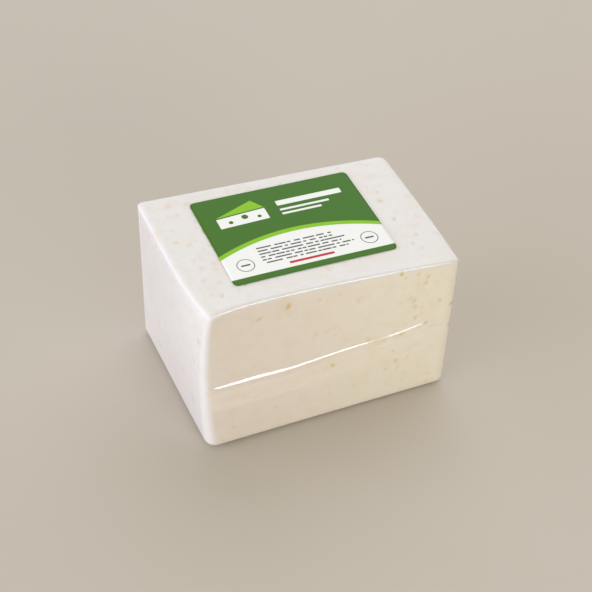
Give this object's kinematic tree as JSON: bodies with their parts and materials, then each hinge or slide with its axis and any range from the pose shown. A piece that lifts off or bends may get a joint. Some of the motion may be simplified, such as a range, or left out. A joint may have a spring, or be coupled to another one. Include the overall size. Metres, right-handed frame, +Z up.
{
  "type": "sealed block of aged white cheese",
  "caption": "Block of aged white cheese sealed in a tight clear film, with soft edges, a raised film crease along its long sides and a printed label on its top.",
  "frame": {"origin": "middle of the block's bounding box in plan, on the surface that it stands on", "axes": "+X along the long front, to the right as seen from the front; +Y from the front to the back; +Z up"},
  "size_m": [0.1282, 0.0888, 0.0847],
  "materials": {
    "cheese_in_film": "pale cream cheese under a glossy clear film",
    "label_paper": "smooth coated paper, printed green and white"
  },
  "bodies": {
    "root": {"sealed_block": "cheese_in_film", "label": "label_paper"}
  },
  "joints": []
}
